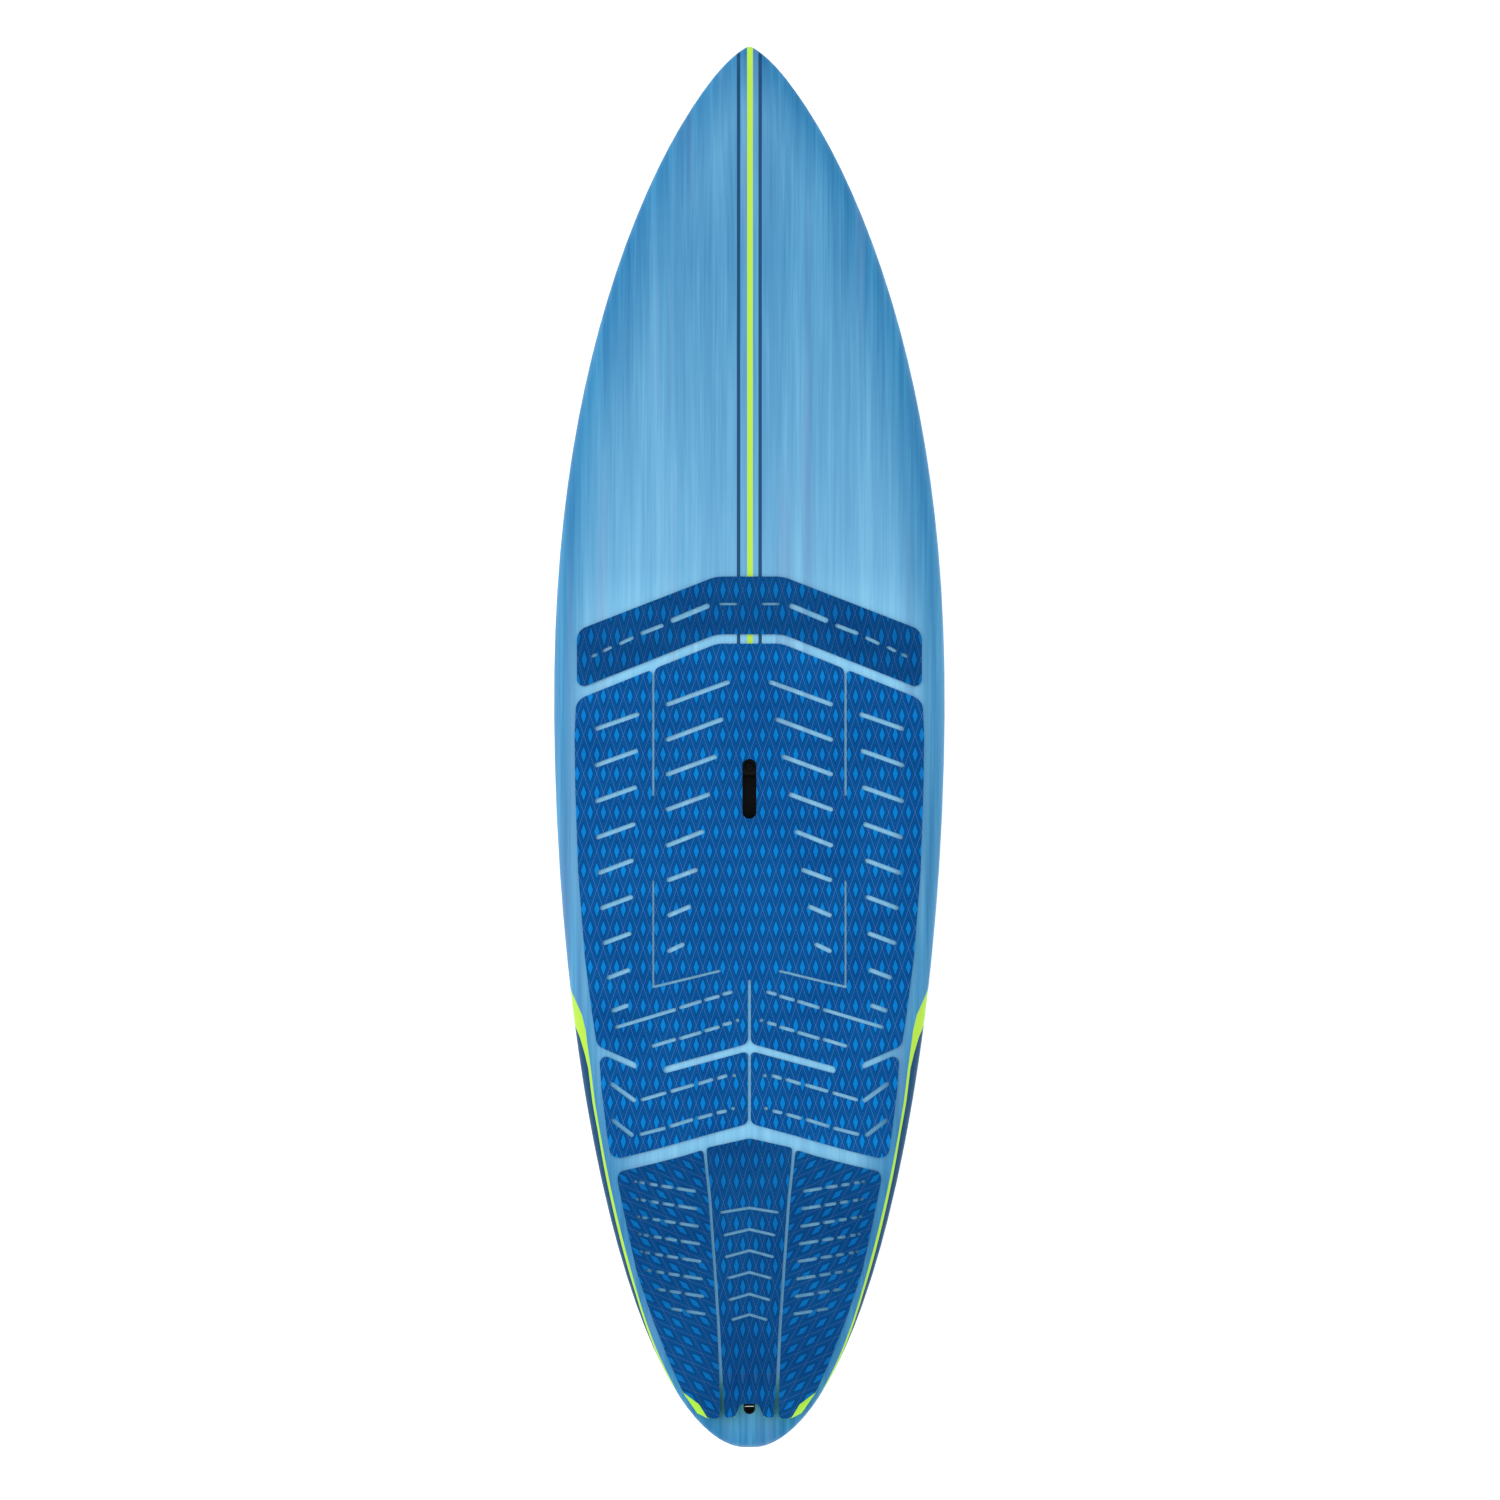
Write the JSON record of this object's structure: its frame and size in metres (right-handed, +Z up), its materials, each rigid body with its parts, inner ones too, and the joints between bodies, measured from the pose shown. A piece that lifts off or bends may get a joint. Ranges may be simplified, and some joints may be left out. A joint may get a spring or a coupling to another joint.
{
  "type": "stand-up paddle surfboard",
  "caption": "Short wave paddle board: painted foam-cored hull with a grooved foam deck pad, arch tail kick, carry handle, vent, leash plug and removable fins.",
  "frame": {"origin": "centre of the bounding box's bottom: on the middle line, half-way along, at the level of the lowest fin tips", "axes": "+Y to the nose, +Z up out of the deck, +X to the right looking at the nose"},
  "size_m": [0.612, 2.181, 0.2608],
  "materials": {
    "deck_paint": "satin",
    "bottom_paint": "gloss",
    "core_foam": "matte",
    "stringer_wood": "matte",
    "dense_foam": "matte",
    "black_plastic": "satin",
    "pad_foam": "matte",
    "kick_foam": "matte",
    "black_rubber": "satin",
    "vent_plastic": "satin",
    "stainless": "satin",
    "fin_resin": "gloss"
  },
  "bodies": {
    "board": {"bottom_skin": "bottom_paint", "deck_skin": "deck_paint", "fin_block_centre": "dense_foam", "fin_block_left": "dense_foam", "fin_block_right": "dense_foam", "fin_box_centre": "black_plastic", "fin_box_left": "black_plastic", "fin_box_right": "black_plastic", "fin_centre": "fin_resin", "fin_left": "fin_resin", "fin_right": "fin_resin", "fin_screw_centre": "stainless", "fin_screw_left": "stainless", "fin_screw_right": "stainless", "foam_core_left": "core_foam", "foam_core_right": "core_foam", "front_pad": "pad_foam", "handle_block": "dense_foam", "handle_cover": "black_plastic", "handle_cup": "black_plastic", "kick_wedge_centre": "kick_foam", "kick_wedge_left": "kick_foam", "kick_wedge_right": "kick_foam", "leash_block": "dense_foam", "leash_cup": "black_plastic", "leash_pin": "stainless", "main_pad": "pad_foam", "stringer": "stringer_wood", "tail_pad_centre": "pad_foam", "tail_pad_left": "pad_foam", "tail_pad_right": "pad_foam", "vent_body": "vent_plastic", "vent_o_ring": "black_rubber"},
    "vent_screw": {"vent_screw": "vent_plastic"}
  },
  "joints": [
    {"name": "vent_turn", "type": "hinge", "parent": "board", "child": "vent_screw", "pos_m": [0, -0.027, 0.16549], "axis": [0, 0, 1], "range_deg": [0, 630]}
  ]
}
